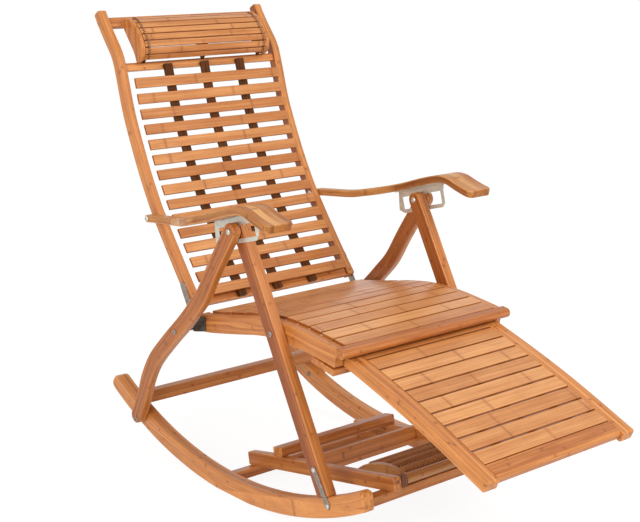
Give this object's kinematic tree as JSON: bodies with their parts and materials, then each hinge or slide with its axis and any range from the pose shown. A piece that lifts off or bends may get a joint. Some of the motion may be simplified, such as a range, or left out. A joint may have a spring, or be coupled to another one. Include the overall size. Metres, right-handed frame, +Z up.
{
  "type": "folding rocking recliner",
  "caption": "Folding bamboo rocking recliner with notched armrests, slatted seat and back, head pillow, pull-out footrest and a roller foot massager on its base.",
  "frame": {"origin": "centre of the chair's overall footprint, on the floor", "axes": "+Z up, -Y the way the sitter faces, +X the sitter's left"},
  "size_m": [0.642, 1.2568, 1.0291],
  "materials": {
    "bamboo": "satin lacquer",
    "bamboo_slats": "satin lacquer",
    "bamboo_dark": "stained, satin",
    "steel": "zinc plated",
    "dark_steel": "blackened"
  },
  "bodies": {
    "frame": {"rocker_l": "bamboo", "rocker_r": "bamboo", "front_leg_l": "bamboo", "front_leg_r": "bamboo", "rear_leg_l": "bamboo", "rear_leg_r": "bamboo", "rear_leg_bar": "bamboo", "leg_top_bolt_l": "steel", "leg_top_bolt_r": "steel", "rear_leg_bolt_l": "steel", "rear_leg_bolt_r": "steel", "seat_stop_stud_l": "steel", "seat_stop_stud_r": "steel", "rocker_strap_l": "dark_steel", "rocker_strap_r": "dark_steel", "base_beam_l": "bamboo", "base_beam_r": "bamboo", "base_rear_bar": "bamboo", "base_front_bar": "bamboo", "base_upper_bar": "bamboo", "base_cross_board": "bamboo", "massager_cheek_l": "bamboo_slats", "massager_cheek_r": "bamboo_slats", "massager_front_bar": "bamboo_dark"},
    "seat": {"seat_rail_l": "bamboo", "seat_rail_r": "bamboo", "seat_nose_bar": "bamboo", "seat_slats": "bamboo_slats", "seat_pivot_bolt_l": "steel", "seat_pivot_bolt_r": "steel", "seat_hook_plate_l": "dark_steel", "seat_hook_plate_r": "dark_steel", "hinge_pin_l": "steel", "hinge_pin_r": "steel"},
    "backrest": {"back_rail_l": "bamboo", "back_rail_r": "bamboo", "back_bottom_bar": "bamboo", "back_second_bar": "bamboo", "back_top_bar": "bamboo", "back_slats": "bamboo_slats", "back_hinge_plate_l": "dark_steel", "back_hinge_plate_r": "dark_steel", "pillow_board_l": "bamboo", "pillow_board_r": "bamboo", "pillow_slats": "bamboo_slats", "arm_pivot_bolt_l": "steel", "arm_pivot_bolt_r": "steel"},
    "armrests": {"armrest_l": "bamboo", "armrest_r": "bamboo", "arm_plate_l": "steel", "arm_plate_r": "steel"},
    "footrest_carriage": {"footrest_rear_board": "bamboo"},
    "footrest": {"footrest_rail_l": "bamboo", "footrest_rail_r": "bamboo", "footrest_front_bar": "bamboo", "footrest_slats": "bamboo_slats"},
    "roller_1": {"massage_roller_1": "bamboo_dark"},
    "roller_2": {"massage_roller_2": "bamboo_dark"},
    "roller_3": {"massage_roller_3": "bamboo_dark"},
    "roller_4": {"massage_roller_4": "bamboo_dark"}
  },
  "joints": [
    {"name": "fold", "type": "hinge", "parent": "frame", "child": "seat", "pos_m": [0, -0.06548, 0.40314], "axis": [1, 0, 0], "range_deg": [0, 6]},
    {"name": "recline", "type": "hinge", "parent": "seat", "child": "backrest", "pos_m": [0, 0.24392, 0.36014], "axis": [-1, 0, 0], "range_deg": [-8, 16]},
    {"name": "armrests_level", "type": "hinge", "parent": "backrest", "child": "armrests", "pos_m": [0, 0.3869, 0.57316], "axis": [1, 0, 0], "range_deg": [-6, 11.8]},
    {"name": "footrest_slide", "type": "slide", "parent": "seat", "child": "footrest_carriage", "axis": [0, 0.9964, -0.0847], "range_m": [0, 0.32]},
    {"name": "footrest_tilt", "type": "hinge", "parent": "footrest_carriage", "child": "footrest", "pos_m": [0, -0.16708, 0.37573], "axis": [-1, 0, 0], "range_deg": [0, 19.1]},
    {"name": "roller_1_spin", "type": "hinge", "parent": "frame", "child": "roller_1", "pos_m": [0, -0.1931, 0.10646], "axis": [1, 0, 0], "continuous": true},
    {"name": "roller_2_spin", "type": "hinge", "parent": "frame", "child": "roller_2", "pos_m": [0, -0.22299, 0.11535], "axis": [1, 0, 0], "continuous": true},
    {"name": "roller_3_spin", "type": "hinge", "parent": "frame", "child": "roller_3", "pos_m": [0, -0.25349, 0.1209], "axis": [1, 0, 0], "continuous": true},
    {"name": "roller_4_spin", "type": "hinge", "parent": "frame", "child": "roller_4", "pos_m": [0, -0.2846, 0.1231], "axis": [1, 0, 0], "continuous": true}
  ],
  "couplings": [
    {"joint": "armrests_level", "follows": "recline", "ratio": 0.73},
    {"joint": "footrest_tilt", "follows": "footrest_slide", "rad_per_m": 1.036}
  ]
}
